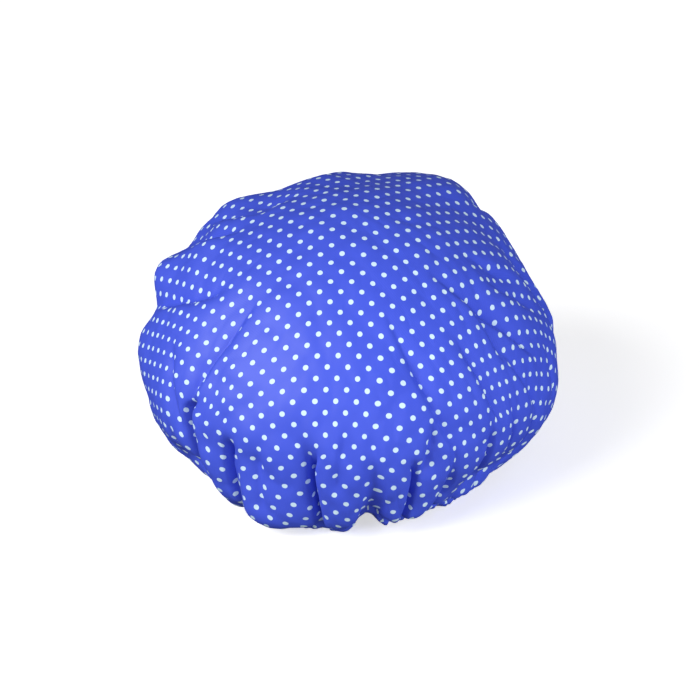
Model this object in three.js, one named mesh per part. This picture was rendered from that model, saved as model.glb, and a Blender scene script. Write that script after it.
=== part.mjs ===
// A bouffant shower cap, standing filled out on its elastic hem.
//
// One round of printed cloth and one round of waterproof film lie one inside the other. Their edges are
// gathered together on to a ring of flat elastic, which runs loose in a casing: the cloth's own edge,
// turned up inside and held by one row of lockstitch. The filled cloth stands in lobes, and the creases
// between them run from the hem towards the crown.
//
// Millimetres, +Z up. The origin is the middle of the head opening, in the plane that the hem rests on.
// The front of the cap faces -Y. An azimuth is measured from the front, and is positive towards +X.
import * as THREE from "three";

// The filled cap: its fullest part is the belly, above the hem and below the crown.
const BELLY_WIDTH = 274;
const BELLY_DEPTH = 278;
const BELLY_HEIGHT = 63;
const BELLY_BACK = 24; // the cloth stands further out behind the hem than in front of it
const CROWN_HEIGHT = 184;
const CROWN_BACK = 20;
const FRONT_FULLNESS = 1.8; // exponent of the outline from belly to crown: 2 is an ellipse
const BACK_FULLNESS = 2.04;
const TUCK_ANGLE = 108; // degrees that the outline turns in below the belly, under the lobes to the hem

// The head opening, round the foot of the hem, with the elastic relaxed: 49 cm round.
const OPENING_WIDTH = 150;
const OPENING_DEPTH = 164;

// The sewn layers. Cloth and film are drawn thicker than the real 0.2 mm, so that they hold as solids.
const CLOTH_THICKNESS = 0.6;
const FILM_THICKNESS = 0.4;
const LAYER_GAP = 0.3;
const CASING_TILT = 40; // degrees that the casing leans out, from its foot to the stitches
const CASING_EASE = 0.45; // room beside the lapped elastic where a crease draws the casing in
const CASING_PUFF = 4; // how much further out a lobe of the casing stands
const STITCH_CLEARANCE = 3; // from the top of the elastic up to the row of stitches
const SEAM_BAND = 1.6; // height of the strip that the stitches hold flat
const HEM_TURN = 2.5; // raw edge above the stitches
const SEAM_WAVE = 2; // depth of the creases where the stitches draw them together

const ELASTIC_WIDTH = 8;
const ELASTIC_THICKNESS = 1;
const ELASTIC_FOOT = 3; // below the elastic, inside the casing
const ELASTIC_LAP = 20; // the ends lie over each other by this much
const LAP_GAP = 0.3;
const THREAD_DIAMETER = 0.7;

// Creases, clockwise from the front: [azimuth in degrees, depth, how far up it runs from hem to crown].
const CREASES = [
  [-9, 13, 0.4],
  [8, 11, 0.3],
  [20, 12, 0.4],
  [31, 9, 0.42],
  [43, 7, 0.46],
  [54, 9, 0.46],
  [65, 12, 0.46],
  [78, 10, 0.5],
  [93, 12, 0.5],
  [109, 10, 0.5],
  [125, 12, 0.58],
  [142, 9, 0.5],
  [158, 12, 0.58],
  [174, 9, 0.5],
  [190, 12, 0.58],
  [206, 10, 0.5],
  [221, 12, 0.6],
  [235, 10, 0.54],
  [248, 12, 0.6],
  [260, 10, 0.56],
  [273, 12, 0.58],
  [287, 9, 0.5],
  [301, 11, 0.44],
  [312, 14, 0.42],
  [327, 14, 0.4],
];
const LOBE_ROUNDNESS = 0.62; // exponent of a lobe's section: smaller is squarer

// Places where the filled cloth stands proud, or lies in where the height is negative: azimuth and half-width
// in degrees, then the place and the half-height as shares of the way from crown to stitches.
const PUFFS = [
  { azimuth: 146, halfWidth: 26, place: 0.4, halfHeight: 0.16, height: 18 },
  { azimuth: 131, halfWidth: 13, place: 0.29, halfHeight: 0.08, height: 7 },
  { azimuth: -172, halfWidth: 18, place: 0.22, halfHeight: 0.08, height: 4 },
  { azimuth: -127, halfWidth: 14, place: 0.36, halfHeight: 0.1, height: 9 },
  { azimuth: -112, halfWidth: 8, place: 0.36, halfHeight: 0.07, height: -4 },
  { azimuth: -98, halfWidth: 9, place: 0.45, halfHeight: 0.06, height: 11 },
  { azimuth: -92, halfWidth: 9, place: 0.51, halfHeight: 0.05, height: -5 },
  { azimuth: -90, halfWidth: 12, place: 0.6, halfHeight: 0.08, height: 4 },
  { azimuth: 94, halfWidth: 9, place: 0.55, halfHeight: 0.06, height: 4 },
  { azimuth: 84, halfWidth: 12, place: 0.72, halfHeight: 0.1, height: 4 },
  { azimuth: -33, halfWidth: 13, place: 0.84, halfHeight: 0.1, height: 7 },
  { azimuth: 46, halfWidth: 26, place: 0.83, halfHeight: 0.12, height: -7 },
  { azimuth: -54, halfWidth: 14, place: 0.8, halfHeight: 0.09, height: -9 },
];

// Long slanting folds, where the cloth is drawn towards the hem. Each runs from one azimuth and place to
// another, is steep on one side and rises again over its spread on the other: the clockwise side, or the other
// one if the spread is negative.
const FOLDS = [
  { from: [53, 0.25], to: [64, 0.66], depth: 7.5, spread: 15 },
  { from: [70, 0.27], to: [86, 0.48], depth: 6, spread: -14 },
  { from: [-40, 0.34], to: [-52, 0.61], depth: 7, spread: -15 },
  { from: [-56, 0.33], to: [-90, 0.5], depth: 6.5, spread: -15 },
  { from: [-86, 0.24], to: [-104, 0.41], depth: 6, spread: -13 },
  { from: [23, 0.58], to: [17, 0.78], depth: 6, spread: 12 },
  { from: [122, 0.3], to: [134, 0.56], depth: 6, spread: 16 },
  { from: [168, 0.28], to: [180, 0.58], depth: 6, spread: 15 },
  { from: [212, 0.3], to: [224, 0.6], depth: 6, spread: 16 },
];
const FOLD_STEEP = 4; // the spread on a fold's steep side

// Places where the hem stands clear of the table: azimuth and half-width in degrees, and height.
const HEM_LIFTS = [
  { azimuth: 8, halfWidth: 9, height: 12 },
  { azimuth: 32, halfWidth: 22, height: 5 },
];

// How finely the cloth is divided.
const STEPS_PER_LOBE = 4;
const BODY_ROWS = 10;
const BELLY_PLACE = 0.66; // the belly's share of the way from crown to stitches

const BLUE = 0x4a5ce8;
const PALE_BLUE = 0xc9d2f4;
const WHITE = 0xf2f2ee;

// Sizes that follow from those.
const ELASTIC_MIDDLE = ELASTIC_FOOT + ELASTIC_WIDTH / 2;
const ELASTIC_TOP = ELASTIC_FOOT + ELASTIC_WIDTH;
const CASING_HEIGHT = ELASTIC_TOP + STITCH_CLEARANCE;
const LAP_OUT = (ELASTIC_THICKNESS + LAP_GAP) / 2; // from the middle of the band to each lapped end
const CASING_PINCH = LAP_OUT + ELASTIC_THICKNESS / 2 + CASING_EASE + CLOTH_THICKNESS / 2;
const SEAM_HALF = (CLOTH_THICKNESS + FILM_THICKNESS) / 2 + LAYER_GAP;

const UP = new THREE.Vector3(0, 0, 1);
const TURN = 2 * Math.PI;
const radians = THREE.MathUtils.degToRad;
const lerp = THREE.MathUtils.lerp;
const smoothstep = THREE.MathUtils.smoothstep;

// The angle from one azimuth to another, in radians, from 0 up to a full turn.
const angleOn = (from, to) => THREE.MathUtils.euclideanModulo(to - from, TURN);

// The angle from one azimuth to another the short way round: with its sign, and without.
const signedAngle = (from, to) => angleOn(from + Math.PI, to) - Math.PI;
const angleBetween = (a, b) => Math.abs(signedAngle(a, b));

const creases = CREASES.map(([azimuth, depth, reach]) => ({ azimuth: radians(azimuth), depth, reach }));

// Where an azimuth lies between two creases: the two, and the share of the way from one to the next.
function lobeAt(azimuth) {
  let best = 0;
  creases.forEach((crease, i) => {
    if (angleOn(crease.azimuth, azimuth) < angleOn(creases[best].azimuth, azimuth)) best = i;
  });
  const from = creases[best];
  const to = creases[(best + 1) % creases.length];
  const share = angleOn(from.azimuth, azimuth) / angleOn(from.azimuth, to.azimuth);
  return { from, to, share };
}

// A lobe's section: 0 in the crease at either side, 1 along its middle.
const lobeSection = (share) => Math.pow(Math.max(0, 4 * share * (1 - share)), LOBE_ROUNDNESS);

// A crease's depth at a place on the cloth: it fades out up the cap, and the stitches draw it flat again.
function creaseDepth(crease, place) {
  const grown = smoothstep(place, 1 - crease.reach, 1 - 0.45 * crease.reach);
  return lerp(crease.depth * grown, SEAM_WAVE, smoothstep(place, 0.84, 1));
}

// How far the cloth lies inside the lobes' tops.
function creaseAt(azimuth, place) {
  const { from, to, share } = lobeAt(azimuth);
  const depth = lerp(creaseDepth(from, place), creaseDepth(to, place), share);
  return depth * (1 - lobeSection(share));
}

function puffAt(azimuth, place) {
  const free = 1 - smoothstep(place, 0.88, 1); // the stitches hold the cloth in
  return PUFFS.reduce((sum, puff) => {
    const across = angleBetween(radians(puff.azimuth), azimuth) / radians(puff.halfWidth);
    const along = (place - puff.place) / puff.halfHeight;
    return sum + puff.height * free * Math.exp(-across * across - along * along);
  }, 0);
}

// How far the slanting folds go in. Across a fold's line the depth falls off with distance, and along the line
// it swells and dies away.
function foldAt(azimuth, place) {
  const radius = (BELLY_WIDTH / 2) * Math.sin((Math.min(place / BELLY_PLACE, 1) * Math.PI) / 2);
  return FOLDS.reduce((sum, { from, to, depth, spread }) => {
    const start = radians(from[0]);
    const run = new THREE.Vector2(signedAngle(start, radians(to[0])) * radius, (to[1] - from[1]) * meridian);
    const spot = new THREE.Vector2(signedAngle(start, azimuth) * radius, (place - from[1]) * meridian);
    const along = spot.dot(run) / run.lengthSq();
    const across = (spot.cross(run) / run.length()) * Math.sign(spread);
    const fall = Math.exp(-Math.abs(across) / (across > 0 ? Math.abs(spread) : FOLD_STEEP));
    const swell = smoothstep(along, -0.12, 0.35) * (1 - smoothstep(along, 0.7, 1.12));
    return sum + depth * fall * swell;
  }, 0);
}

function hemLift(azimuth) {
  return HEM_LIFTS.reduce((sum, lift) => {
    const across = angleBetween(radians(lift.azimuth), azimuth) / radians(lift.halfWidth);
    return sum + (across < 1 ? lift.height * Math.pow(1 - across * across, 2) : 0);
  }, 0);
}

// The level direction out of the head opening, square to the elastic.
function outward(azimuth) {
  const x = Math.sin(azimuth) / OPENING_WIDTH;
  const y = -Math.cos(azimuth) / OPENING_DEPTH;
  return new THREE.Vector3(x, y, 0).normalize();
}

// The directions across and up the casing, which leans out from its foot.
function casingAxes(azimuth) {
  const [lean, rise] = [Math.sin(radians(CASING_TILT)), Math.cos(radians(CASING_TILT))];
  const level = outward(azimuth);
  return {
    out: level.clone().multiplyScalar(rise).addScaledVector(UP, -lean),
    up: UP.clone().multiplyScalar(rise).addScaledVector(level, lean),
  };
}

// A point on the level of the hem's foot, out from the middle of the casing.
function footPoint(azimuth, out) {
  const middle = new THREE.Vector3(
    (OPENING_WIDTH / 2) * Math.sin(azimuth),
    (-OPENING_DEPTH / 2) * Math.cos(azimuth),
    hemLift(azimuth),
  );
  return middle.addScaledVector(outward(azimuth), out);
}

// A point in the casing: across from its middle, and up along its lean.
function hemPoint(azimuth, across, along) {
  const { out, up } = casingAxes(azimuth);
  return footPoint(azimuth, 0).addScaledVector(out, across).addScaledVector(up, along);
}

// The row of stitches runs here, half-way between the cloth and its turned edge.
const seamOut = (azimuth) => -creaseAt(azimuth, 1);

// The smooth filled form, before its lobes: two arcs in each upright plane, which meet at the belly.
function form(azimuth, place) {
  const seam = hemPoint(azimuth, SEAM_HALF, CASING_HEIGHT + SEAM_BAND / 2);
  if (place <= BELLY_PLACE) {
    const fullness = lerp(FRONT_FULLNESS, BACK_FULLNESS, (1 - Math.cos(azimuth)) / 2);
    const angle = (place / BELLY_PLACE) * (Math.PI / 2);
    const out = Math.pow(Math.sin(angle), 2 / fullness);
    const up = Math.pow(Math.max(0, Math.cos(angle)), 2 / fullness);
    return new THREE.Vector3(
      (BELLY_WIDTH / 2) * out * Math.sin(azimuth),
      lerp(CROWN_BACK, BELLY_BACK, out) - (BELLY_DEPTH / 2) * out * Math.cos(azimuth),
      lerp(BELLY_HEIGHT, CROWN_HEIGHT, up),
    );
  }
  const tuck = radians(TUCK_ANGLE);
  const angle = ((place - BELLY_PLACE) / (1 - BELLY_PLACE)) * tuck;
  const inShare = (1 - Math.cos(angle)) / (1 - Math.cos(tuck));
  const belly = form(azimuth, BELLY_PLACE);
  return new THREE.Vector3(
    lerp(belly.x, seam.x, inShare),
    lerp(belly.y, seam.y, inShare),
    lerp(belly.z, seam.z, Math.sin(angle) / Math.sin(tuck)),
  );
}

// The length of the front, from crown to stitches.
const MERIDIAN_STEPS = 40;
const frontLine = Array.from({ length: MERIDIAN_STEPS + 1 }, (_, k) => form(0, k / MERIDIAN_STEPS));
const meridian = frontLine.slice(1).reduce((sum, point, k) => sum + point.distanceTo(frontLine[k]), 0);

// The middle of the cloth's thickness, from the crown (place 0) to the stitches (place 1).
function bodyPoint(azimuth, place) {
  const small = 1e-3;
  const around = form(azimuth + small, place).sub(form(azimuth - small, place));
  const down = form(azimuth, Math.min(1, place + small)).sub(form(azimuth, Math.max(small, place - small)));
  const normal = down.cross(around).normalize();
  normal.lerp(casingAxes(azimuth).out, smoothstep(place, 0.8, 1)).normalize();
  const proud = puffAt(azimuth, place) - creaseAt(azimuth, place) - foldAt(azimuth, place);
  return form(azimuth, place).addScaledVector(normal, proud);
}

// The cloth below the stitches: down outside the elastic, under it, and up inside to the raw edge.
function casingPoints(azimuth) {
  const puff = CASING_PUFF * lobeSection(lobeAt(azimuth).share);
  const foot = (out) => footPoint(azimuth, out).addScaledVector(UP, CLOTH_THICKNESS / 2);
  const seam = seamOut(azimuth);
  return [
    hemPoint(azimuth, seam + SEAM_HALF, CASING_HEIGHT - SEAM_BAND / 2),
    hemPoint(azimuth, CASING_PINCH + 0.85 * puff, ELASTIC_TOP),
    hemPoint(azimuth, CASING_PINCH + puff, ELASTIC_MIDDLE),
    foot(CASING_PINCH + 0.55 * puff),
    foot(-CASING_PINCH - 0.45 * puff),
    hemPoint(azimuth, -CASING_PINCH - 0.8 * puff, ELASTIC_MIDDLE),
    hemPoint(azimuth, -CASING_PINCH - 0.7 * puff, ELASTIC_TOP),
    hemPoint(azimuth, seam - SEAM_HALF, CASING_HEIGHT - SEAM_BAND / 2),
    hemPoint(azimuth, seam - SEAM_HALF, CASING_HEIGHT + HEM_TURN),
  ];
}
const FOOT_ROWS = [BODY_ROWS + 4, BODY_ROWS + 5]; // the two rows that lie flat on the table

// The azimuths of the grid's columns: a few in each lobe, with one in every crease.
const columns = creases.flatMap((crease, i) => {
  const width = angleOn(crease.azimuth, creases[(i + 1) % creases.length].azimuth);
  return Array.from({ length: STEPS_PER_LOBE }, (_, k) => crease.azimuth + (width * k) / STEPS_PER_LOBE);
});

// The cloth as a grid of points and normals: one column for each azimuth, rows from crown to raw edge.
const cloth = columns.map((azimuth) => {
  const body = Array.from({ length: BODY_ROWS + 1 }, (_, row) => bodyPoint(azimuth, row / BODY_ROWS));
  return [...body, ...casingPoints(azimuth)];
});
const clothNormals = cloth.map((column, i) =>
  column.map((point, row) => {
    if (row === 0) return new THREE.Vector3(0, 0, 1);
    if (FOOT_ROWS.includes(row)) return new THREE.Vector3(0, 0, -1);
    const right = cloth[(i + 1) % cloth.length][row];
    const left = cloth[(i - 1 + cloth.length) % cloth.length][row];
    const below = column[Math.min(row + 1, column.length - 1)];
    const above = column[row - 1];
    const around = right.clone().sub(left);
    return below.clone().sub(above).cross(around).normalize();
  }),
);

// A closed solid between two offsets of the cloth's grid, from the crown down to a last row.
function layer(outer, inner, lastRow) {
  const positions = [];
  const faces = [];
  const add = (column, row, offset) => {
    const point = cloth[column][row].clone().addScaledVector(clothNormals[column][row], offset);
    return positions.push(point.x, point.y, point.z) / 3 - 1;
  };
  const skin = (offset) => {
    const pole = add(0, 0, offset);
    return cloth.map((_, column) => [
      pole,
      ...Array.from({ length: lastRow }, (_, row) => add(column, row + 1, offset)),
    ]);
  };
  const outside = skin(outer);
  const inside = skin(inner);
  cloth.forEach((_, i) => {
    const next = (i + 1) % cloth.length;
    for (let row = 0; row < lastRow; row++) {
      const [a, b] = [outside[i][row], outside[next][row]];
      const [c, d] = [outside[i][row + 1], outside[next][row + 1]];
      const [e, f] = [inside[i][row], inside[next][row]];
      const [g, h] = [inside[i][row + 1], inside[next][row + 1]];
      faces.push(a, c, d, e, h, g);
      if (row > 0) faces.push(a, d, b, e, f, h);
    }
    const [c, d] = [outside[i][lastRow], outside[next][lastRow]];
    const [g, h] = [inside[i][lastRow], inside[next][lastRow]];
    faces.push(c, g, h, c, h, d);
  });
  return new THREE.BufferGeometry()
    .setAttribute("position", new THREE.Float32BufferAttribute(positions, 3))
    .setIndex(faces);
}

// A solid swept along a run of frames: each has a point, a direction out and a direction up.
function sweep(frames, section) {
  const positions = [];
  const faces = [];
  const sides = section.length;
  frames.forEach(({ point, out, up }) =>
    section.forEach(([a, b]) => {
      const corner = point.clone().addScaledVector(out, a).addScaledVector(up, b);
      positions.push(corner.x, corner.y, corner.z);
    }),
  );
  for (let i = 0; i + 1 < frames.length; i++) {
    for (let k = 0; k < sides; k++) {
      const [a, b] = [i * sides + k, i * sides + ((k + 1) % sides)];
      faces.push(a, b + sides, b, a, a + sides, b + sides);
    }
  }
  const last = (frames.length - 1) * sides;
  for (let k = 1; k + 1 < sides; k++) {
    faces.push(0, k, k + 1, last, last + k + 1, last + k);
  }
  return new THREE.BufferGeometry()
    .setAttribute("position", new THREE.Float32BufferAttribute(positions, 3))
    .setIndex(faces);
}

const hemFrame = (azimuth, across, along) => ({
  point: hemPoint(azimuth, across, along),
  ...casingAxes(azimuth),
});

// A round section, for threads.
function roundSection(diameter, sides) {
  return Array.from({ length: sides }, (_, k) => {
    const angle = (TURN * k) / sides;
    return [(diameter / 2) * Math.cos(angle), (diameter / 2) * Math.sin(angle)];
  });
}

// The elastic's ends meet in the middle of the lobe that lies at the back, where the casing has room.
const backLobe = lobeAt(Math.PI);
const joinAzimuth = backLobe.from.azimuth + angleOn(backLobe.from.azimuth, backLobe.to.azimuth) / 2;
const LAP_ANGLE = ELASTIC_LAP / (OPENING_DEPTH / 2);

// The band runs once round and past its own start. One end steps in and the other steps out to lap.
function elasticBand() {
  const start = joinAzimuth - LAP_ANGLE / 2;
  const run = TURN + LAP_ANGLE;
  const easing = LAP_ANGLE / run;
  const between = columns.map((azimuth) => angleOn(start, azimuth) / run);
  const shares = [0, easing, 2 * easing, ...between, 1 - 2 * easing, 1 - easing, 1];
  const frames = shares
    .sort((a, b) => a - b)
    .filter((share, i) => i === 0 || share - shares[i - 1] > 1e-6)
    .map((share) => {
      const inside = 1 - smoothstep(share, easing, 2 * easing);
      const outside = smoothstep(share, 1 - 2 * easing, 1 - easing);
      return hemFrame(start + share * run, LAP_OUT * (outside - inside), ELASTIC_MIDDLE);
    });
  const [halfThickness, halfWidth] = [ELASTIC_THICKNESS / 2, ELASTIC_WIDTH / 2];
  return sweep(frames, [
    [-halfThickness, -halfWidth],
    [halfThickness, -halfWidth],
    [halfThickness, halfWidth],
    [-halfThickness, halfWidth],
  ]);
}

// The zigzag tack that holds the lapped ends, on the outside of the lap.
function elasticTack() {
  const TACK_POINTS = 7;
  const out = LAP_OUT + ELASTIC_THICKNESS / 2 + LAYER_GAP + THREAD_DIAMETER / 2;
  const points = Array.from({ length: TACK_POINTS }, (_, k) => {
    const along = (k / (TACK_POINTS - 1) - 0.5) * 0.7 * LAP_ANGLE;
    const up = ELASTIC_MIDDLE + (k % 2 ? 0.35 : -0.35) * ELASTIC_WIDTH;
    return hemPoint(joinAzimuth + along, out, up);
  });
  const path = new THREE.CatmullRomCurve3(points, false, "catmullrom", 0.2);
  const round = new THREE.Shape(
    roundSection(THREAD_DIAMETER, 5).map(([x, y]) => new THREE.Vector2(x, y)),
  );
  return new THREE.ExtrudeGeometry(round, { steps: 24, extrudePath: path, bevelEnabled: false });
}

// One thread of the lockstitch, on one face of the sewn layers. It is tied off at the back.
function seamThread(side) {
  const out = side * (SEAM_HALF + CLOTH_THICKNESS / 2 + LAYER_GAP + THREAD_DIAMETER / 2);
  const frames = columns
    .filter((azimuth) => angleBetween(azimuth, joinAzimuth) > 1e-3)
    .sort((a, b) => angleOn(joinAzimuth, a) - angleOn(joinAzimuth, b))
    .map((azimuth) => hemFrame(azimuth, seamOut(azimuth) + out, CASING_HEIGHT));
  return sweep(frames, roundSection(THREAD_DIAMETER, 5));
}

const finish = (color, roughness) => new THREE.MeshStandardMaterial({ color, roughness, metalness: 0 });
const filmOuter = -(CLOTH_THICKNESS / 2 + LAYER_GAP);

const pieces = {
  outer_cloth: [layer(CLOTH_THICKNESS / 2, -CLOTH_THICKNESS / 2, cloth[0].length - 1), finish(BLUE, 0.5)],
  waterproof_lining: [layer(filmOuter, filmOuter - FILM_THICKNESS, BODY_ROWS + 1), finish(PALE_BLUE, 0.3)],
  elastic_band: [elasticBand(), finish(WHITE, 0.8)],
  elastic_tack: [elasticTack(), finish(WHITE, 0.6)],
  seam_needle_thread: [seamThread(1), finish(BLUE, 0.6)],
  seam_bobbin_thread: [seamThread(-1), finish(BLUE, 0.6)],
};

const cap = new THREE.Group();
for (const [name, [geometry, material]] of Object.entries(pieces)) {
  geometry.computeVertexNormals();
  const mesh = new THREE.Mesh(geometry, material);
  mesh.name = name;
  cap.add(mesh);
}

export default cap;
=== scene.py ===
# %% [markdown]
# # A bouffant shower cap
#
# The real cap is one round of thin printed cloth with a round of waterproof film inside it. Their edges are
# gathered together on to a ring of elastic, and the filled cloth stands out in lobes between its creases.
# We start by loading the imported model. It is a fixed frame: every new piece is made in the same metres and
# axes, with the front of the cap towards -Y, so nothing has to be fitted by eye.

import bpy
import numpy as np
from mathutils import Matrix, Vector


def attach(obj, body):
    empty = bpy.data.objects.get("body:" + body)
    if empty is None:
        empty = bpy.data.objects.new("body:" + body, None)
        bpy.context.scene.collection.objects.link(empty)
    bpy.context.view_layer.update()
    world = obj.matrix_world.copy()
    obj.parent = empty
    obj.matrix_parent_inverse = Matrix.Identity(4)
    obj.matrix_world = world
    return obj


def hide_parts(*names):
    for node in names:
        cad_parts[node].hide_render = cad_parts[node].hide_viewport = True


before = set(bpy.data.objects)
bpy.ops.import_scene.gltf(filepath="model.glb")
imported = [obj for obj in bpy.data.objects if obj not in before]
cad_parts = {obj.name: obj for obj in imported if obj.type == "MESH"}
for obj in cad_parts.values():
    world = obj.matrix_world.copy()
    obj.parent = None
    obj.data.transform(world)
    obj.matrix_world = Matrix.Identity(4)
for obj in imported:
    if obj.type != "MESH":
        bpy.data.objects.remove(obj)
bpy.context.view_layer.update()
MM = 0.001

# %% [markdown]
# ## The sizes
#
# The cap is drawn from a few lengths: how wide and deep its belly stands, how high the crown is, and how
# big the head opening is while the elastic is relaxed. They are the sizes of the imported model, in
# millimetres, because a maker thinks in those. Points are turned into metres only when a mesh is written.

# %% Driving sizes, in millimetres
BELLY_WIDTH = 274
BELLY_DEPTH = 278
BELLY_HEIGHT = 63
BELLY_BACK = 24
CROWN_HEIGHT = 184
CROWN_BACK = 20
OPENING_WIDTH = 150
OPENING_DEPTH = 164

TURN = 2 * np.pi
UP = np.array([0.0, 0.0, 1.0])
print("belly", BELLY_WIDTH, "x", BELLY_DEPTH, "mm, crown at", CROWN_HEIGHT, "mm")

# %% [markdown]
# ## The smooth filled form
#
# Before it has any folds, the cap is a plump dome that curls in under itself to the hem. A sculptor would
# push a sphere about. We write the dome as a function of two numbers instead: the azimuth, measured from
# the front, and the place, which goes from 0 at the crown to 1 at the stitches of the hem. A formula can be
# asked for its slope and its lengths, and the folds need both.

# %% Small helpers
TINY = 1e-6


def smoothstep(value, low, high):
    """0 below low, 1 above high, and 3t^2 - 2t^3 of the share t between them."""
    share = np.clip((value - low) / (high - low), 0, 1)
    return share * share * (3 - 2 * share)


def swell(value, grows, fades):
    """0, then 1, then 0 again: a smoothstep up over grows, times 1 less a smoothstep over fades."""
    return smoothstep(value, *grows) * (1 - smoothstep(value, *fades))


def mix(first, second, share):
    """first plus the share of the way to second."""
    return first + (second - first) * share


def unit(vectors):
    """Each vector divided by its length."""
    return vectors / np.linalg.norm(vectors, axis=-1, keepdims=True)


def turn_from(start, end):
    """The signed angle from start to end, the short way round."""
    return (end - start + np.pi) % TURN - np.pi


print("a quarter of the way, smoothstep gives", smoothstep(0.25, 0, 1))

# %% The hem that the cloth comes down to
CASING_TILT = np.radians(40)
HEM_LIFTS = np.array(
    [
        # azimuth, half-width, height
        [8, 9, 12],
        [31, 24, 6],
        [0, 6, 1],
    ]
)
LIFT_AZIMUTH, LIFT_HALF = np.radians(HEM_LIFTS[:, :2]).T
LIFT_HEIGHT = HEM_LIFTS[:, 2]


def hem_lift(azimuth):
    """Height of the hem above the table. Each lift adds (1 - x^2)^2 of its height, where x goes from -1 to 1
    across it."""
    across = turn_from(LIFT_AZIMUTH, np.asarray(azimuth)[..., None]) / LIFT_HALF
    return (LIFT_HEIGHT * np.clip(1 - across**2, 0, None) ** 2).sum(-1)


def level_out(azimuth):
    """The level direction square to the ellipse of the head opening."""
    x = np.sin(azimuth) / OPENING_WIDTH
    y = -np.cos(azimuth) / OPENING_DEPTH
    return unit(np.stack([x, y, np.zeros_like(x)], -1))


def casing_axes(azimuth):
    """The directions across and up the casing: the level direction and up, both turned by its lean."""
    level = level_out(azimuth)
    lean, rise = np.sin(CASING_TILT), np.cos(CASING_TILT)
    return level * rise - UP * lean, UP * rise + level * lean


def foot_point(azimuth, out):
    """A point of the hem's foot: the ellipse of the opening, lifted, then out along the level direction."""
    x = OPENING_WIDTH / 2 * np.sin(azimuth)
    y = -OPENING_DEPTH / 2 * np.cos(azimuth)
    return np.stack([x, y, hem_lift(azimuth)], -1) + level_out(azimuth) * np.asarray(out)[..., None]


def hem_point(azimuth, across, along):
    """A point in the casing: the foot, plus a distance across the casing and one up along its lean."""
    out, up = casing_axes(azimuth)
    foot = foot_point(azimuth, 0.0)
    return foot + out * np.asarray(across)[..., None] + up * np.asarray(along)[..., None]


print("the hem is lifted by up to", hem_lift(np.linspace(0, TURN, 361)).max().round(1), "mm")

# %% The dome
FRONT_FULLNESS = 1.8
BACK_FULLNESS = 2.04
TUCK_ANGLE = np.radians(108)
BELLY_PLACE = 0.66
CASING_HEIGHT = 14
SEAM_HALF = 0.8
SEAM_BAND = 1.6
SEAM_TOP = CASING_HEIGHT + SEAM_BAND / 2
SEAM_FOOT = CASING_HEIGHT - SEAM_BAND / 2
SLOPE_STEP = 1e-3
NEAR_POLE = 4 * SLOPE_STEP
CASING_TURN = 0.8


def cap_form(azimuth, place):
    """Two arcs in each upright plane. From crown to belly a superellipse: out is the sine and up the cosine
    of an angle, each to the power 2/fullness. From belly to stitches an arc of a circle, scaled to fit."""
    fullness = mix(FRONT_FULLNESS, BACK_FULLNESS, (1 - np.cos(azimuth)) / 2)
    angle = np.clip(place / BELLY_PLACE, 0, 1) * np.pi / 2
    out = np.sin(angle) ** (2 / fullness)
    up = np.clip(np.cos(angle), 0, 1) ** (2 / fullness)
    x = BELLY_WIDTH / 2 * out * np.sin(azimuth)
    y = mix(CROWN_BACK, BELLY_BACK, out) - BELLY_DEPTH / 2 * out * np.cos(azimuth)
    z = mix(BELLY_HEIGHT, CROWN_HEIGHT, up)
    seam = hem_point(azimuth, SEAM_HALF, SEAM_TOP)
    turned = np.clip((place - BELLY_PLACE) / (1 - BELLY_PLACE), 0, 1) * TUCK_ANGLE
    tucked_in = (1 - np.cos(turned)) / (1 - np.cos(TUCK_ANGLE))
    tucked_down = np.sin(turned) / np.sin(TUCK_ANGLE)
    return np.stack(
        [
            mix(x, seam[..., 0], tucked_in),
            mix(y, seam[..., 1], tucked_in),
            mix(z, seam[..., 2], tucked_down),
        ],
        -1,
    )


def cap_normal(azimuth, place):
    """Out of the dome: the cross product of its slopes down and around. Over the last fifth of the way to
    the stitches it turns into the casing's own direction out."""
    place = np.maximum(place, NEAR_POLE)
    around = cap_form(azimuth + SLOPE_STEP, place) - cap_form(azimuth - SLOPE_STEP, place)
    down = cap_form(azimuth, np.minimum(1, place + SLOPE_STEP)) - cap_form(azimuth, place - SLOPE_STEP)
    out, _ = casing_axes(azimuth)
    turned = smoothstep(place, CASING_TURN, 1)[..., None]
    return unit(mix(unit(np.cross(down, around)), out, turned))


crown_height = cap_form(np.zeros(1), np.zeros(1))[0, 2]
print("smooth dome: crown at", crown_height.round(1), "mm")

# %% Puffs, where the cloth stands out or falls hollow
PUFF_FADE = 0.88
PUFFS = np.array(
    [
        # azimuth, half-width, place, half-height, height
        [-172, 18, 0.22, 0.08, 4],
        [-127, 14, 0.36, 0.10, 9],
        [-118, 12, 0.20, 0.06, -5],
        [-112, 8, 0.36, 0.07, -1],
        [-104, 13, 0.62, 0.09, -8],
        [-100, 12, 0.28, 0.06, 5],
        [-98, 9, 0.45, 0.06, 12],
        [-92, 9, 0.51, 0.05, -5],
        [-90, 12, 0.60, 0.08, 4],
        [-86, 14, 0.34, 0.08, 5],
        [-86, 10, 0.57, 0.13, 4.5],
        [-86, 9, 0.70, 0.11, -4],
        [-66, 15, 0.51, 0.17, 2],
        [-58, 11, 0.83, 0.08, -15],
        [-47, 6, 0.86, 0.07, 4],
        [-38, 6, 0.88, 0.07, -5],
        [-29, 12, 0.84, 0.10, 7],
        [22, 8, 0.88, 0.07, 4],
        [46, 26, 0.83, 0.12, -7],
        [54, 14, 0.83, 0.08, -7],
        [84, 12, 0.72, 0.10, 4],
        [94, 9, 0.55, 0.06, 4],
        [131, 15, 0.28, 0.09, 6],
        [146, 26, 0.40, 0.16, 18],
    ]
)
PUFF_AZIMUTH, PUFF_HALF = np.radians(PUFFS[:, :2]).T
PUFF_PLACE, PUFF_HALF_HEIGHT, PUFF_HEIGHT = PUFFS[:, 2:].T


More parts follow.
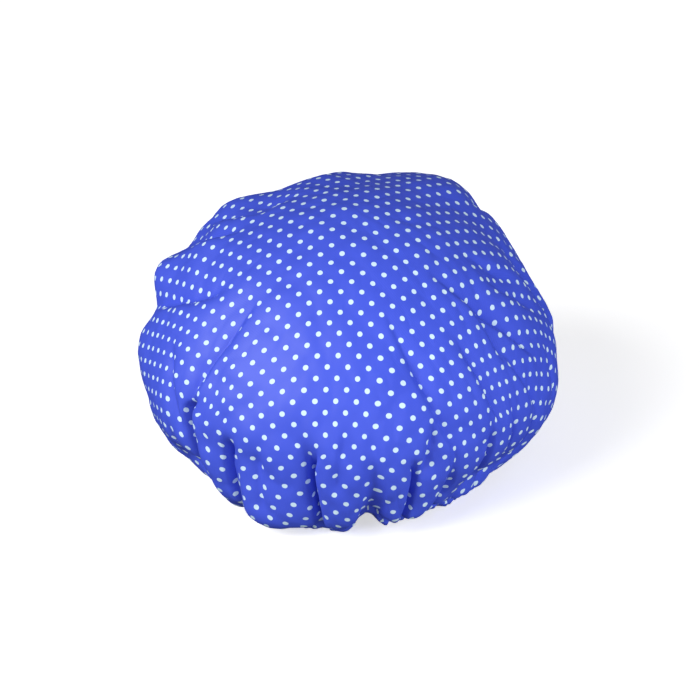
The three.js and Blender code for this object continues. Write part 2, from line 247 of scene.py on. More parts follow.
def puff_out(azimuth, place):
    """How far the filled cloth stands proud: a sum of bell curves, faded out where the stitches hold it."""
    across = turn_from(PUFF_AZIMUTH, azimuth[..., None]) / PUFF_HALF
    along = (place[..., None] - PUFF_PLACE) / PUFF_HALF_HEIGHT
    bells = PUFF_HEIGHT * np.exp(-(across**2) - along**2)
    return (1 - smoothstep(place, PUFF_FADE, 1)) * bells.sum(-1)


def filled(azimuth, place, proud=0.0):
    """A point of the filled dome, moved out along its normal by the puffs and by proud."""
    out = puff_out(azimuth, place) + proud
    return cap_form(azimuth, place) + cap_normal(azimuth, place) * out[..., None]


profile = np.linspace(0, 1, 201)
front = filled(np.zeros_like(profile), profile)
print("crown to stitches at the front:", round(np.linalg.norm(np.diff(front, axis=0), axis=1).sum()), "mm")

# %% [markdown]
# ## The creases, and the flat cloth they come from
#
# Cloth hardly stretches. A flat round that is drawn over a dome has more and more cloth to spare towards
# its edge, and the spare cloth goes into the creases. So we keep account of two lengths at once on every
# level of the cap: how long the ring of flat cloth is, and how long the ring of the dome is. Each lobe
# shows as much cloth as fits, and folds the rest into the creases beside it. The dots of the print are
# drawn on the flat cloth, so they keep their size on the lobes and vanish into the folds, as on the real
# cap.

# %% Creases round the cap
CREASES = np.array(
    [
        # azimuth at the belly, depth, places where it starts and is full, widths of its left and right walls
        # as they show, below 0 where the lobe on that side laps over the crease, and lean at mid-height
        [-8, 20, 0.58, 0.70, 7.0, -1.5, -1.5],
        [7.5, 6, 0.56, 0.78, 9.0, 7.0, 0],
        [16.5, 18, 0.64, 0.73, -1.5, 6.0, 3],
        [31, 6, 0.58, 0.81, 4.0, 4.0, 3],
        [43, 10, 0.54, 0.79, 1.5, 4.0, 3],
        [54, 9, 0.54, 0.79, 1.2, 1.2, 0],
        [65, 14, 0.54, 0.79, 2.2, 2.2, 0],
        [78, 10, 0.50, 0.77, 1.2, 1.2, 0],
        [93, 14, 0.50, 0.77, 2.4, 2.4, 0],
        [109, 10, 0.50, 0.77, 1.2, 1.2, 0],
        [125, 12, 0.42, 0.74, 2.0, 2.0, 0],
        [142, 9, 0.50, 0.77, 1.0, 1.0, 0],
        [158, 12, 0.42, 0.74, 2.4, 2.4, 0],
        [174, 9, 0.50, 0.77, 1.2, 1.2, 0],
        [190, 12, 0.42, 0.74, 1.8, 1.8, 0],
        [206, 10, 0.50, 0.77, 1.0, 1.0, 0],
        [221, 12, 0.40, 0.73, 2.2, 2.2, 0],
        [235, 10, 0.46, 0.76, 1.2, 1.2, 0],
        [248, 12, 0.40, 0.73, 1.8, 1.8, 0],
        [260, 10, 0.58, 0.80, 1.2, 1.2, 0],
        [273, 12, 0.66, 0.85, 1.6, 1.6, 0],
        [287, 9, 0.68, 0.86, 1.0, 1.0, -2],
        [300, 10, 0.66, 0.85, 1.4, 1.4, -5],
        [314, 40, 0.56, 0.61, 13.0, -3.0, -4],
        [326, 22, 0.60, 0.73, 7.0, -1.5, -5],
    ]
)
CREASE_AZIMUTH, CREASE_LEAN = np.radians(CREASES[:, [0, 6]]).T
CREASE_DEPTH, CREASE_START, CREASE_FULL, WALL_BEFORE, WALL_AFTER = CREASES[:, 1:6].T
LOBES = len(CREASES)
print(LOBES, "creases, the deepest", CREASE_DEPTH.max(), "mm")

# %% Where the creases lie on the flat cloth
LEFT_SIDE = -100
LEFT_FLAT = -82
FLAT_MAP = np.radians(
    [
        # azimuth on the dome, azimuth on the flat cloth
        [LEFT_SIDE, LEFT_FLAT],
        [-60, -54],
        [-46, -42],
        [-34, -27.5],
        [-8, -7.6],
        [16.5, 14],
        [34, 27],
        [95, 95],
        [LEFT_SIDE + 360, LEFT_FLAT + 360],
    ]
)


def flat_azimuth(azimuth):
    """Where a crease lies on the flat cloth, in straight lines between the rows of FLAT_MAP. The smooth
    front and left take up less of the flat round than of the dome, and the pleated right and back more."""
    start = FLAT_MAP[0, 0]
    turned = (azimuth - start) % TURN + start
    return np.interp(turned, *FLAT_MAP.T) + azimuth - turned


FLAT_AZIMUTH = flat_azimuth(CREASE_AZIMUTH)
print("the front creases lie on the flat cloth at", np.degrees(FLAT_AZIMUTH[:4]).round(1), "degrees")

# %% Lengths down and around the dome
ROWS = 90
TABLE = 720
row_place = np.linspace(0, 1, ROWS + 1)
table_azimuth = np.linspace(-np.pi, np.pi, TABLE + 1)
dome = filled(*np.broadcast_arrays(table_azimuth[None, :], row_place[:, None]))
down_steps = np.linalg.norm(np.diff(dome, axis=0), axis=-1)
down_length = np.vstack([np.zeros(TABLE + 1), np.cumsum(down_steps, axis=0)])
ring_steps = np.linalg.norm(np.diff(dome, axis=1), axis=-1)
ring_length = np.hstack([np.zeros((ROWS + 1, 1)), np.cumsum(ring_steps, axis=1)])


def look_up(table, azimuth):
    """Reads a table of rows and azimuths at an azimuth for each row, in a straight line between entries."""
    position = (turn_from(0.0, azimuth) + np.pi) / TURN * TABLE
    left = np.clip(position.astype(int), 0, TABLE - 1)
    rows = np.arange(ROWS + 1)[:, None]
    return mix(table[rows, left], table[rows, left + 1], position - left)


def ring_at(azimuth):
    """Length along each row's ring from the back to an azimuth, counting on over whole turns."""
    turns = np.floor((azimuth + np.pi) / TURN)
    return look_up(ring_length, azimuth) + turns * ring_length[:, -1:]


def azimuth_at(ring):
    """The azimuth at a length along each row's ring: the table read the other way, over two turns."""
    two_turns = np.hstack([table_azimuth, table_azimuth[1:] + TURN])
    lengths = np.hstack([ring_length, ring_length[:, 1:] + ring_length[:, -1:]])
    return np.stack([np.interp(r, x, two_turns) for r, x in zip(ring, lengths)])


down_side, down_back = down_length[-1, TABLE // 4], down_length[-1, 0]
print("crown to stitches: side", down_side.round(), "mm, back", down_back.round(), "mm")

# %% Where each crease runs
SETTLED_PLACE = 0.78
LEAST_SHOWING = 0.05
LEAN_GROWS = (0.30, 0.55)
LEAN_ENDS = (0.58, 0.80)
SEAM_HOLDS = (0.84, 1)
SEAM_WAVE = 2
SHOULDER_SHARE = (0.25, 0.5)
SHOULDER_GROWS = (0.64, 0.82)
SHOULDER_DEPTH = 12

# A crease starts at its azimuth on the flat cloth and drifts to its own azimuth on the dome as the cloth is
# gathered. The shoulders are the sides of a lobe that round off into the crease.
place_column = row_place[:, None]
flat_ring = np.maximum(TURN * down_length.mean(axis=1), TINY)
showing = np.clip(ring_length[:, -1] / flat_ring, LEAST_SHOWING, 1)
showing[0] = 1
spread = (1 / showing - 1) / (1 / np.interp(SETTLED_PLACE, row_place, showing) - 1)
drift = np.minimum(spread, 1)[:, None]
leaning = swell(place_column, LEAN_GROWS, LEAN_ENDS)
crease_path = mix(FLAT_AZIMUTH, CREASE_AZIMUTH, drift) + CREASE_LEAN * leaning
next_path = np.hstack([crease_path[:, 1:], crease_path[:, :1] + TURN])
flat_span = np.append(FLAT_AZIMUTH[1:], FLAT_AZIMUTH[0] + TURN) - FLAT_AZIMUTH

closing = smoothstep(place_column, CREASE_START, CREASE_FULL)
seam_hold = smoothstep(place_column, *SEAM_HOLDS)
shoulder_share = mix(*SHOULDER_SHARE, smoothstep(place_column, *SHOULDER_GROWS))
shoulder = shoulder_share * np.minimum(CREASE_DEPTH, SHOULDER_DEPTH) * closing
shoulder_drop = mix(shoulder, SEAM_WAVE, seam_hold)
print("the dome's ring at the stitches is", showing[-1].round(2), "of the flat cloth's")

# %% How much of each lobe shows
OPEN_WALL = 0.14
WIDEST_WALL = 0.45
EASE = 1.03
TUCK_LEAST = 6
TUCK_SPARE = 0.7
TUCK_SHARE = 0.7

# A lobe takes a little more cloth than its width, because it bulges. What is left is spare, and a crease is
# never deeper than the spare cloth beside it allows.
lobe_width = ring_at(next_path) - ring_at(crease_path)
lobe_down = look_up(down_length, (crease_path + next_path) / 2)
flat_width = lobe_down * flat_span
spare = np.maximum(flat_width - EASE * lobe_width, 0)
tuck_room = TUCK_LEAST + TUCK_SPARE * np.maximum(spare, np.roll(spare, 1, axis=1))
tuck_depth = mix(np.minimum(TUCK_SHARE * CREASE_DEPTH, tuck_room) * closing, 0.0, seam_hold)
closing_next = np.roll(closing, -1, axis=1)


def fold_wall(closed, wall):
    """Half of a crease, as it shows: a strip of the open lobe at first, and at last a wall of its own width.
    A width below 0 takes the wall back under the lobe, so that the lobe overhangs the crease."""
    return mix(OPEN_WALL * lobe_width, np.minimum(wall, WIDEST_WALL * lobe_width), closed)


left_shows = fold_wall(closing, WALL_AFTER)
right_shows = fold_wall(closing_next, np.roll(WALL_BEFORE, -1))
face_shows = lobe_width - left_shows - right_shows
print("spare cloth at the stitches:", spare[-1].sum().round(), "mm of", flat_width[-1].sum().round(), "mm")

# %% [markdown]
# ## Slanting folds
#
# Where the cloth is pulled towards the hem it also breaks into long slanting folds, which lie over each
# other like slates: a steep edge on one side and a slow rise on the other. Each is drawn along a line on the
# cap, and its depth is a formula of the distance from that line.

# %% Folds across the lobes
MERIDIAN = 300
FOLD_STEEP = 1.6
FOLD_ROUND = 1
FOLD_SWELLS = (-0.12, 0.35)
FOLD_FADES = (0.70, 1.12)
FOLDS = np.array(
    [
        # azimuth and place of its start, of its end, depth, how wide it rises again, side that lies lower
        [15, 0.33, 31, 0.67, 4.6, 12, 1],
        [38, 0.40, 46, 0.63, 4.6, 11, 1],
        [44, 0.27, 66, 0.50, 5.5, 11, 1],
        [51, 0.33, 53, 0.50, 3.6, 7, 1],
        [53, 0.34, 68, 0.54, 4.0, 8, 1],
        [54, 0.47, 64, 0.66, 4.6, 10, 1],
        [68, 0.33, 86, 0.50, 4.4, 9, 1],
        [70, 0.27, 88, 0.42, 4.0, 11, -1],
        [-40, 0.34, -52, 0.61, 7.0, 15, -1],
        [-56, 0.33, -90, 0.50, 6.5, 15, -1],
        [-65, 0.48, -53, 0.68, 4.6, 12, -1],
        [-98, 0.18, -116, 0.34, 5.0, 10, -1],
        [-86, 0.24, -104, 0.41, 6.0, 13, -1],
        [-51, 0.57, -44, 0.84, 5.0, 11, -1],
        [-33, 0.62, -33, 0.82, 4.0, 12, -1],
        [-25, 0.63, -25, 0.82, 4.6, 10, -1],
        [-13, 0.53, -9, 0.84, 4.0, 13, -1],
        [24, 0.56, 20, 0.71, 6.0, 12, 1],
        [-1, 0.55, -4, 0.73, 2.5, 8, 1],
        [104, 0.34, 92, 0.58, 5.0, 14, -1],
        [122, 0.30, 134, 0.56, 6.0, 16, 1],
        [150, 0.33, 143, 0.55, 5.0, 14, -1],
        [168, 0.28, 180, 0.58, 6.0, 15, 1],
        [198, 0.34, 190, 0.58, 5.0, 13, -1],
        [212, 0.30, 224, 0.60, 6.0, 16, 1],
        [240, 0.36, 230, 0.60, 5.0, 14, -1],
    ]
)
FOLD_FROM, FOLD_TO = np.radians(FOLDS[:, 0]), np.radians(FOLDS[:, 2])
FOLD_TOP, FOLD_END, FOLD_DEPTH, FOLD_WIDE, FOLD_SIDE = FOLDS[:, [1, 3, 4, 5, 6]].T


def fold_in(azimuth, place, ring_radius):
    """How far the folds go in. Across a fold's line the depth falls off by the exponential of the distance,
    quickly on its steep side and slowly on the other; along the line it swells and dies away."""
    radius = ring_radius[..., None]
    run_x = turn_from(FOLD_FROM, FOLD_TO) * radius
    run_y = (FOLD_END - FOLD_TOP) * MERIDIAN
    length = np.hypot(run_x, run_y)
    x = turn_from(FOLD_FROM, azimuth[..., None]) * radius
    y = (place[..., None] - FOLD_TOP) * MERIDIAN
    along = (x * run_x + y * run_y) / length**2
    across = (x * run_y - y * run_x) / length * FOLD_SIDE
    rounded = np.sqrt(across**2 + FOLD_ROUND**2) - FOLD_ROUND
    fall = np.exp(-rounded / np.where(across > 0, FOLD_WIDE, FOLD_STEEP))
    return (FOLD_DEPTH * fall * swell(along, FOLD_SWELLS, FOLD_FADES)).sum(-1)


print(len(FOLDS), "slanting folds,", FOLD_DEPTH.min(), "to", FOLD_DEPTH.max(), "mm deep")

# %% [markdown]
# ## The printed cloth
#
# Blender's Cloth could drop a flat round over a form, but it would choose its own folds. Here the grid of
# the cloth follows the folds that the real cap shows: each lobe has columns across its face and a few down
# each wall of its creases, so that every crease is a clean line of the mesh. Below the stitches the same
# columns go on round the elastic as its casing. The cloth's place on the flat round is kept as its UV map,
# in metres.

# %% The columns of the lobes
WALL_STEPS = 3
FRONT_STEPS = 20
BACK_STEPS = 8
FRONT_REACH = np.radians(82)
LOBE_ROUNDNESS = 0.45

lobe_turn = turn_from(0.0, CREASE_AZIMUTH + flat_span / 2)
face_steps = np.where(np.abs(lobe_turn) < FRONT_REACH, FRONT_STEPS, BACK_STEPS)
lobe_steps = face_steps + 2 * WALL_STEPS
column_lobe = np.repeat(np.arange(LOBES), lobe_steps)
next_lobe = (column_lobe + 1) % LOBES
first_column = np.cumsum(lobe_steps) - lobe_steps
COLUMNS = len(column_lobe)
step = np.arange(COLUMNS) - first_column[column_lobe]
steps_across = face_steps[column_lobe]
left_share = np.clip(step / WALL_STEPS, 0, 1)
face_share = np.clip((step - WALL_STEPS) / steps_across, 0, 1)
right_share = np.clip((step - WALL_STEPS - steps_across) / WALL_STEPS, 0, 1)


def lobe_section(share, roundness):
    """A lobe's section: 4q(1 - q), to a power. It is 0 at either side, 1 in the middle, and squarer the
    smaller the power is."""
    return np.clip(4 * share * (1 - share), 0, None) ** roundness


section = lobe_section(face_share, LOBE_ROUNDNESS)
print(COLUMNS, "columns,", FRONT_STEPS, "on a front lobe and", BACK_STEPS, "on a back one")

# %% Small wrinkles
WRINKLES = 14
WRINKLE_SEED = 5
WRINKLE_DEPTH = 0.35
WRINKLE_SPACING = (24, 70)
WRINKLE_BEND = (0.6, 1.6)
WRINKLE_MEAN = 1.1
chance = np.random.default_rng(WRINKLE_SEED)
wrinkle_turn = chance.uniform(0, np.pi, WRINKLES)
wrinkle_wave = TURN / chance.uniform(*WRINKLE_SPACING, WRINKLES)
wrinkle_phase = chance.uniform(0, TURN, WRINKLES)
wrinkle_bend = chance.uniform(*WRINKLE_BEND, WRINKLES)


def flat_place(down, turn):
    """A place on the flat round, in mm: a length out from its middle, in the direction of an azimuth."""
    return np.stack([down * np.sin(turn), -down * np.cos(turn)], -1)


def wrinkle_in(place):
    """Small wrinkles by place on the flat cloth, in mm: a sum of rows of ridges, less its mean. A ridge is
    the square of 1 less the size of a sine in its row's own direction, and a slow sine across that direction
    bends it."""
    x, y = place[..., :1], place[..., 1:]
    along = x * np.cos(wrinkle_turn) + y * np.sin(wrinkle_turn)
    across = y * np.cos(wrinkle_turn) - x * np.sin(wrinkle_turn)
    bend = wrinkle_bend * np.sin(across * wrinkle_wave / 2 + 2 * wrinkle_phase)
    ridge = 1 - np.abs(np.sin(along * wrinkle_wave / 2 + bend + wrinkle_phase))
    return WRINKLE_DEPTH * (ridge**2).sum(-1) - WRINKLE_MEAN


print(WRINKLES, "rows of wrinkles,", WRINKLE_SPACING[0], "to", WRINKLE_SPACING[1], "mm apart")

# %% The body of the cloth
GATHER_PITCH = 7.5
GATHER_DRIFT = 37
GATHER_SWAY = 1.5
GATHER_DEPTH = 0.6
GATHER_GROWS = (0.86, 0.97)
WALL_FALL = 0.55


def per_column(values):
    """Values for each lobe, given to each of its columns."""
    return values[:, column_lobe]


ring = (
    per_column(ring_at(crease_path))
    + per_column(left_shows) * left_share
    + per_column(face_shows) * face_share
    + per_column(right_shows) * right_share
)
cloth_azimuth = azimuth_at(ring)
cloth_down = look_up(down_length, cloth_azimuth)
cloth_place = np.broadcast_to(place_column, cloth_azimuth.shape)
ring_radius = np.maximum(ring_length[:, -1:] / TURN, 1)

# The gathers are a wave along the stitches whose pitch wanders. A wall on a lobe's right falls away at once,
# by a power of its share, so that the crease under it is dark.
gather_sway = GATHER_SWAY * np.sin(TURN * ring[-1] / GATHER_DRIFT)
gather_wave = np.sin(TURN * ring[-1] / GATHER_PITCH + gather_sway)
gather = GATHER_DEPTH * gather_wave * smoothstep(place_column, *GATHER_GROWS)
drop = mix(per_column(shoulder_drop), shoulder_drop[:, next_lobe], face_share) * (1 - section)
tuck = per_column(tuck_depth) * (1 - left_share) + tuck_depth[:, next_lobe] * right_share**WALL_FALL
folds = fold_in(cloth_azimuth, cloth_place, ring_radius)
wrinkles = wrinkle_in(flat_place(cloth_down, cloth_azimuth))
folded_in = drop + tuck + folds + wrinkles * (1 - seam_hold) + gather
body = filled(cloth_azimuth, cloth_place, -folded_in)
print("deepest place in the folds:", folded_in.max().round(1), "mm")

# %% Its place on the flat cloth
MOST_EASED = 1 / 3
HEM_LOOSE = 0.35
HEM_LOOSENS = (0.86, 1)

# Where a lobe is open, its flat cloth is spread evenly over it. Where its creases are closed, the middle
# keeps its true width and what is left over is taken from the folds.
column_steps = np.linalg.norm(np.roll(body, -1, axis=1) - body, axis=-1)
true_along = np.cumsum(column_steps, axis=1) - column_steps
lobe_start = true_along[:, first_column]
lobe_end = np.hstack([lobe_start[:, 1:], column_steps.sum(1, keepdims=True)])
true_width = np.maximum(lobe_end - lobe_start, TINY)
from_middle = true_along - per_column(lobe_start + true_width / 2)
eased = per_column(flat_width / true_width)
outwards = 2 * from_middle / per_column(true_width)
taken = np.clip(1 - eased, 0, MOST_EASED) * outwards**2
in_folds = (1 - taken) * np.minimum(1, eased / (1 - MOST_EASED))
closed = np.where(from_middle < 0, per_column(closing), per_column(closing_next))
closed = closed * (1 - HEM_LOOSE * smoothstep(place_column, *HEM_LOOSENS))
flat_along = per_column(flat_width) / 2 + from_middle * mix(eased, in_folds, closed)
flat_along = np.where(step == 0, 0, flat_along)
flat_turn = FLAT_AZIMUTH[column_lobe] + flat_along / np.maximum(per_column(lobe_down), TINY)
flat_turn[0] = flat_turn[1]
belly_eased = eased[np.searchsorted(row_place, BELLY_PLACE)]
print("flat cloth for each mm at the belly:", belly_eased.min().round(2), "to", belly_eased.max().round(2))

# %% The casing round the elastic
CLOTH_THICKNESS = 0.4
CASING_PINCH = 1.9
CASING_PUFF = 4
CREASE_PUFF = 0.45
GATHER_PUFF = 0.1
HEM_TURN = 2.5
ELASTIC_MIDDLE = 7
ELASTIC_TOP = 11
AT_FOOT = None
CASING_SECTION = (
    # side of the elastic, share of the puff, height up the casing
    (1, 0.85, ELASTIC_TOP),
    (1, 1.0, ELASTIC_MIDDLE),
    (1, 0.55, AT_FOOT),
    (-1, 0.45, AT_FOOT),
    (-1, 0.8, ELASTIC_MIDDLE),
    (-1, 0.7, ELASTIC_TOP),
)


def casing_point(azimuth, side, out, along):
    """A row round the elastic: some way up the casing, or half a thickness above the foot of the hem."""
    if along is AT_FOOT:
        return foot_point(azimuth, side * out) + UP * CLOTH_THICKNESS / 2
    return hem_point(azimuth, side * out, along)


def casing_rows(azimuth, seam, puff):
    """The rows of cloth that hold the elastic: from the seam down its outside, flat under its foot, up its
    inside to the seam, and on to the raw edge."""
    round_elastic = [
        casing_point(azimuth, side, CASING_PINCH + share * puff, along)
        for side, share, along in CASING_SECTION
    ]
    return np.stack(
        [
            hem_point(azimuth, seam + SEAM_HALF, SEAM_FOOT),
            *round_elastic,
            hem_point(azimuth, seam - SEAM_HALF, SEAM_FOOT),
            hem_point(azimuth, seam - SEAM_HALF, CASING_HEIGHT + HEM_TURN),
        ]
    )


hem_azimuth = cloth_azimuth[-1]
seam_in = -folded_in[-1]
casing_puff = CASING_PUFF * mix(CREASE_PUFF, 1.0, section) * (1 - GATHER_PUFF * gather_wave)
casing = casing_rows(hem_azimuth, seam_in, casing_puff)
# No cloth goes below the table.
casing[..., 2] = np.maximum(casing[..., 2], CLOTH_THICKNESS / 2)
print("casing:", len(casing), "rows, up to", casing_puff.max().round(1), "mm full")

# %% The whole round, and its flat place
cloth = np.concatenate([body, casing])
casing_steps = np.linalg.norm(np.diff(np.concatenate([body[-1:], casing]), axis=0), axis=-1)
casing_down = np.cumsum(casing_steps, axis=0)
flat_down = np.concatenate([cloth_down, cloth_down[-1] + casing_down])
flat_turns = np.concatenate([flat_turn, np.broadcast_to(flat_turn[-1], casing_down.shape)])
flat_cloth = flat_place(flat_down, flat_turns)
print("cloth grid:", cloth.shape[0], "rows of", COLUMNS)


# %% Meshes from grids
def new_piece(name, points, faces):
    """A smooth mesh object at the origin from points in mm and lists of corners."""
    mesh = bpy.data.meshes.new(name)
    mesh.from_pydata(points * MM, [], faces)
    mesh.shade_smooth()
    mesh.validate()
    piece = bpy.data.objects.new(name, mesh)
    bpy.context.scene.collection.objects.link(piece)
    return piece


def round_sheet(name, rows, flat, thickness):
    """A round of cloth from a grid of points in mm: a pole at the crown, then rings of quads. A quad's
    corners go down, to the right and up, so that it faces outwards. The flat place of each point, in mm,
    becomes the UV map in metres, and a Solidify gives the sheet its thickness, half to each side."""
    count, columns = rows.shape[:2]
    points = np.concatenate([rows[0, :1], rows[1:].reshape(-1, 3)])
    flats = np.concatenate([flat[0, :1], flat[1:].reshape(-1, 2)]) * MM
    index = 1 + np.arange((count - 1) * columns).reshape(count - 1, columns)
    right = np.roll(index, -1, axis=1)
    fan = np.stack([np.zeros(columns, int), index[0], right[0]], -1)
    quads = np.stack([index[:-1], index[1:], right[1:], right[:-1]], -1).reshape(-1, 4)
    piece = new_piece(name, points, fan.tolist() + quads.tolist())
    corner = np.empty(len(piece.data.loops), dtype=np.int32)
    piece.data.loops.foreach_get("vertex_index", corner)
    piece.data.uv_layers.new(name="flat_cloth").data.foreach_set("uv", flats[corner].ravel())
    wall = piece.modifiers.new("thickness", "SOLIDIFY")
    wall.thickness = thickness * MM
    wall.offset = 0
    wall.use_even_offset = False
    print(name, len(points), "points")
    return piece


cap_cloth = round_sheet("cap_cloth", cloth, flat_cloth, CLOTH_THICKNESS)

# %% [markdown]
# ## The waterproof film
#
# Inside the cloth lies a loose round of milky film, which keeps the hair dry. It could be the cloth's own
# mesh made smaller, but film is stiffer than cloth: it passes below the creases instead of going into them,
# so its lobes are softer, with a few ripples of their own. We keep it clear of the cloth everywhere.

# %% The film's lobes
FILM_GAP = 6
FILM_CLEAR = 2.5
FILM_RIPPLES = 3
FILM_RIPPLE_STEPS = 6
FILM_RIPPLE_DEPTH = 8
FILM_RIPPLE_GROWS = (0.4, 0.75)
FILM_RIPPLE_ENDS = (0.9, 1)
FILM_ROUNDNESS = 1.2
FILM_STEPS = FILM_RIPPLES * FILM_RIPPLE_STEPS

film_step = np.tile(np.arange(FILM_STEPS) / FILM_STEPS, LOBES)
film_lobe = np.repeat(np.arange(LOBES), FILM_STEPS)
film_next = (film_lobe + 1) % LOBES
film_ring = ring_at(crease_path)[:, film_lobe] + lobe_width[:, film_lobe] * film_step
film_azimuth = azimuth_at(film_ring)
film_place = np.broadcast_to(place_column, film_azimuth.shape)
crease_in = shoulder_drop + tuck_depth
film_dip = mix(crease_in[:, film_lobe], crease_in[:, film_next], film_step)
film_dip = film_dip * (1 - lobe_section(film_step, FILM_ROUNDNESS))
film_folds = fold_in(film_azimuth, film_place, ring_radius)
ripple_swell = swell(place_column, FILM_RIPPLE_GROWS, FILM_RIPPLE_ENDS)
ripple = FILM_RIPPLE_DEPTH * ripple_swell * (1 - np.cos(TURN * FILM_RIPPLES * film_step)) / 2
film_in = film_dip + film_folds + ripple + mix(FILM_GAP, SEAM_HALF, seam_hold)
print("the film lies up to", film_in.max().round(1), "mm inside the dome")

# %% The film's mesh, clear of the cloth
FILM_THICKNESS = 0.25
FILM_ROW_STEP = 2

ring_order = np.maximum.accumulate(ring, axis=1)
cloth_depth = drop + tuck + folds
cloth_in = np.stack([np.interp(f, r, d) for f, r, d in zip(film_ring, ring_order, cloth_depth)])
film_in = np.maximum(film_in, cloth_in + mix(FILM_CLEAR, SEAM_HALF, seam_hold))
film_body = filled(film_azimuth, film_place, -film_in)
film_end = hem_point(film_azimuth[-1], SEAM_HALF - film_in[-1], SEAM_FOOT)
film_rows = np.concatenate([film_body[::FILM_ROW_STEP], film_end[None]])
film_turn = FLAT_AZIMUTH[film_lobe] + flat_span[film_lobe] * film_step
film_lengths = look_up(down_length, film_azimuth)
film_down = np.concatenate([film_lengths[::FILM_ROW_STEP], film_lengths[-1:] + SEAM_BAND])
cap_film = round_sheet("cap_film", film_rows, flat_place(film_down, film_turn), FILM_THICKNESS)

# %% [markdown]
# ## The stitches
#
# One row of lockstitch holds cloth, film and the turned-up edge together above the elastic. On a machine
# the needle's thread lies on the outside and the bobbin's on the inside, and both dip into the cloth between
# stitches. Copies of one stitch on a curve would do, but here each stitch bends with the seam: it is a short
# thread, thick in the middle and sunk at its ends, and all of them are worked out at once.

# %% Stitches along the seam
STITCH_PITCH = 3
STITCH_LENGTH = 2.6
STITCH_SINK = 1.6
STITCH_OUT = SEAM_HALF + CLOTH_THICKNESS / 2
STITCH_RINGS = 4
STITCH_SIDES = 6
THREAD_RADIUS = 0.3


def along_path(place, length, values):
    """Each coordinate of values, read at a length along the path, in straight lines between its points."""
    return np.stack([np.interp(place, length, values[:, k]) for k in range(3)], -1)


def stitch_points(across):
    """The points of a closed row of stitches, across mm out from the seam's middle. Along a stitch a share
    goes from -1 to 1. Its radius is the thread's, times the root of 1 less the share's square. Its middle
    rises by the thread's radius, times 1 less the share's square, which STITCH_SINK multiplies."""
    path = hem_point(hem_azimuth, seam_in + across, CASING_HEIGHT)
    path = np.concatenate([path, path[:1]])
    length = np.append(0, np.cumsum(np.linalg.norm(np.diff(path, axis=0), axis=1)))
    out = casing_axes(np.append(hem_azimuth, hem_azimuth[0] + TURN))[0]
    count = int(length[-1] // STITCH_PITCH)
    share = np.linspace(-1, 1, STITCH_RINGS + 2)
    middle = np.arange(count)[:, None] * length[-1] / count
    place = (middle + share * STITCH_LENGTH / 2) % length[-1]
    centre = along_path(place, length, path)
    outward = unit(along_path(place, length, out))
    forward = unit(np.gradient(centre, axis=1))
    side = unit(np.cross(outward, forward))
    outward = np.cross(forward, side) * np.sign(across)
    rise = THREAD_RADIUS * (1 - STITCH_SINK * share**2)
    radius = THREAD_RADIUS * np.sqrt(np.clip(1 - share**2, 0, 1))
    centre = centre + outward * rise[:, None]
    turn = TURN * np.arange(STITCH_SIDES) / STITCH_SIDES
    spoke = outward[:, :, None] * np.cos(turn)[:, None] + side[:, :, None] * np.sin(turn)[:, None]
    rings = (centre[:, :, None] + spoke * radius[:, None, None])[:, 1:-1].reshape(count, -1, 3)
    return np.concatenate([centre[:, :1], rings, centre[:, -1:]], axis=1)


def stitch_row(name, across):
    """A row of stitches as one mesh: each stitch is rings of quads between two fans of triangles."""
    points = stitch_points(across)
    count, each = points.shape[:2]
    index = 1 + np.arange(STITCH_RINGS * STITCH_SIDES).reshape(STITCH_RINGS, STITCH_SIDES)
    beside = np.roll(index, -1, axis=1)
    last = np.full(STITCH_SIDES, each - 1)
    first_fan = np.stack([0 * last, beside[0], index[0]], -1)
    last_fan = np.stack([last, index[-1], beside[-1]], -1)
    walls = np.stack([index[:-1], beside[:-1], beside[1:], index[1:]], -1).reshape(-1, 4)
    starts = (np.arange(count) * each)[:, None, None]
    fans = (np.concatenate([first_fan, last_fan]) + starts).reshape(-1, 3)
    quads = (walls + starts).reshape(-1, 4)
    print(name, count, "stitches")
    return new_piece(name, points.reshape(-1, 3), fans.tolist() + quads.tolist())


needle_stitches = stitch_row("needle_stitches", STITCH_OUT)
bobbin_stitches = stitch_row("bobbin_stitches", -STITCH_OUT)

# %% [markdown]
# ## The printed cloth's finish
#
# The cloth is a fine polyester, printed with white pin dots. A picture of the print would stretch over the
# folds. Here the dots are drawn by nodes on the flat cloth's UV map, so they follow the cloth. Colours are
# sRGB hex values that one function turns to linear ones, and one small function adds a node with its
# settings and links.

# %% Helpers for materials
def linear(hex_colour):
    """An sRGB hex colour as linear RGBA: v / 12.92 for dark values, and (v + 0.055) / 1.055 to the power 2.4
    for the rest."""
    srgb = np.array([int(hex_colour[i : i + 2], 16) for i in (1, 3, 5)]) / 255
    rgb = np.where(srgb <= 0.04045, srgb / 12.92, ((srgb + 0.055) / 1.055) ** 2.4)
    return (*rgb.tolist(), 1.0)


def add(tree, kind, settings=None, **inputs):
    """Adds a node. settings are its own properties; inputs are values or other nodes' sockets, by socket
    name, with in0, in1 and so on for a socket's number."""
    node = tree.nodes.new(kind)
    for name, value in (settings or {}).items():
        setattr(node, name, value)
    for name, value in inputs.items():
        by_number = name.startswith("in") and name[2:].isdigit()
        socket = node.inputs[int(name[2:])] if by_number else node.inputs[name.replace("_", " ")]
        if isinstance(value, bpy.types.NodeSocket):
            tree.links.new(value, socket)
        else:
            socket.default_value = value
    return node


def new_material(name):
    """A material with an empty node tree."""
    material = bpy.data.materials.new(name)
    material.use_nodes = True
    material.node_tree.nodes.clear()
    print("material", name)
    return material


# %% The pin dots of the print
DOT_ACROSS = 13.9
DOT_ALONG = 14.35
DOT_RADIUS = 1.76
DOT_EDGE = 0.2
PRINT_TURN = np.radians(2)
PRINT_SHIFT = (-4.2, 3.0, 0.0)

